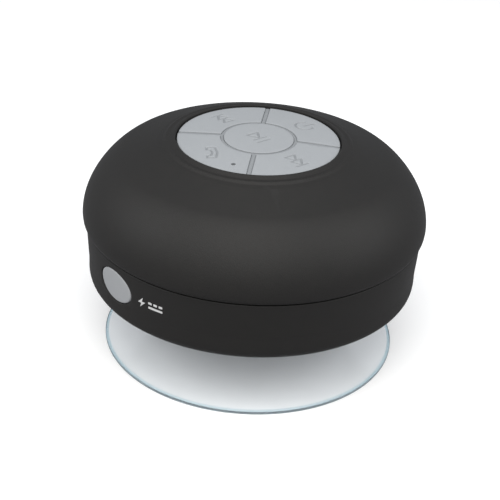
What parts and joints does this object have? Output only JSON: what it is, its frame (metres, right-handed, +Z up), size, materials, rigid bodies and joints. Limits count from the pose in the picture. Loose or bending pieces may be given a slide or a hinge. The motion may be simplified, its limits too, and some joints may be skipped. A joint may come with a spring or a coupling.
{
  "type": "shower speaker",
  "caption": "Round splash-proof shower speaker with a rubber keypad on top, a plugged charging port and a clear suction cup underneath.",
  "frame": {"origin": "on the speaker's own axis, in the plane that the suction cup's rim rests on", "axes": "+Z up along the axis towards the keypad; +Y towards the power key; -Y towards the call key and the port plug; +X towards the next-track key"},
  "size_m": [0.086, 0.086, 0.0561],
  "materials": {
    "soft_black": "soft-touch satin black",
    "keypad_grey": "matte silicone",
    "plug_grey": "matte silicone",
    "seal_black": "matte",
    "white_ink": "printed ink",
    "clear_cup": "clear soft vinyl",
    "screw_steel": "zinc plated",
    "board_green": "solder mask",
    "part_black": "moulded",
    "part_tan": "fired ceramic or board",
    "part_ivory": "moulded",
    "tin_plate": "tinned",
    "gold_plate": "plated",
    "cell_foil": "laminated foil",
    "foam_grey": "foam",
    "wire_skin": "insulated",
    "ferrite": "sintered",
    "paper_black": "pressed paper",
    "spider_cloth": "resin-dipped cloth",
    "copper_wire": "enamelled",
    "splash_cloth": "fine woven"
  },
  "bodies": {
    "housing": {"dome_shell": "soft_black", "base_shell": "soft_black", "case_seal": "seal_black", "keypad_membrane": "keypad_grey", "port_mark": "white_ink", "case_screws": "screw_steel", "main_pcb": "board_green", "pcb_screws": "screw_steel", "switch_play": "part_black", "switch_power": "part_black", "switch_next": "part_black", "switch_previous": "part_black", "switch_call": "part_black", "bluetooth_chip": "part_black", "amplifier_chip": "part_black", "crystal": "tin_plate", "inductor": "ferrite", "capacitors": "part_tan", "battery_connector": "part_ivory", "microphone": "tin_plate", "microphone_boot": "seal_black", "status_led": "part_ivory", "jack_body": "part_black", "jack_pin": "gold_plate", "jack_tags": "tin_plate", "battery_foam": "foam_grey", "battery_cell": "cell_foil", "battery_board": "board_green", "battery_wires": "wire_skin", "speaker_wires": "wire_skin", "jack_wires": "wire_skin", "driver_frame": "part_black", "driver_gasket": "foam_grey", "driver_screws": "screw_steel", "top_plate": "screw_steel", "magnet": "ferrite", "yoke": "screw_steel", "terminal_strip": "part_tan", "surround": "seal_black", "spider": "spider_cloth", "splash_membrane": "splash_cloth", "port_strap": "plug_grey"},
    "play_key": {"key_play": "keypad_grey", "plunger_play": "part_ivory"},
    "power_key": {"key_power": "keypad_grey", "plunger_power": "part_ivory"},
    "next_key": {"key_next": "keypad_grey", "plunger_next": "part_ivory"},
    "previous_key": {"key_previous": "keypad_grey", "plunger_previous": "part_ivory"},
    "call_key": {"key_call": "keypad_grey", "plunger_call": "part_ivory"},
    "plug": {"port_plug": "plug_grey"},
    "cup": {"suction_cup": "clear_cup"},
    "cone": {"speaker_cone": "paper_black", "dust_cap": "paper_black", "coil_former": "part_tan", "voice_coil": "copper_wire"}
  },
  "joints": [
    {"name": "play_press", "type": "slide", "parent": "housing", "child": "play_key", "axis": [0, 0, -1], "range_m": [0, 0.0003], "stiffness_N_per_m": 3000},
    {"name": "power_press", "type": "slide", "parent": "housing", "child": "power_key", "axis": [0, 0, -1], "range_m": [0, 0.0003], "stiffness_N_per_m": 3000},
    {"name": "next_press", "type": "slide", "parent": "housing", "child": "next_key", "axis": [0, 0, -1], "range_m": [0, 0.0003], "stiffness_N_per_m": 3000},
    {"name": "previous_press", "type": "slide", "parent": "housing", "child": "previous_key", "axis": [0, 0, -1], "range_m": [0, 0.0003], "stiffness_N_per_m": 3000},
    {"name": "call_press", "type": "slide", "parent": "housing", "child": "call_key", "axis": [0, 0, -1], "range_m": [0, 0.0003], "stiffness_N_per_m": 3000},
    {"name": "plug_swing", "type": "hinge", "parent": "housing", "child": "plug", "pos_m": [0.0069, -0.0424, 0.0276], "axis": [0, 0, 1], "range_deg": [0, 115], "deforming": ["port_strap"]},
    {"name": "cup_swivel", "type": "hinge", "parent": "housing", "child": "cup", "pos_m": [0, 0, 0.018], "axis": [0, 0, 1], "continuous": true},
    {"name": "cone_excursion", "type": "slide", "parent": "housing", "child": "cone", "axis": [0, 0, 1], "range_m": [-0.0008, 0.0008], "stiffness_N_per_m": 1200, "deforming": ["surround", "spider"]}
  ]
}
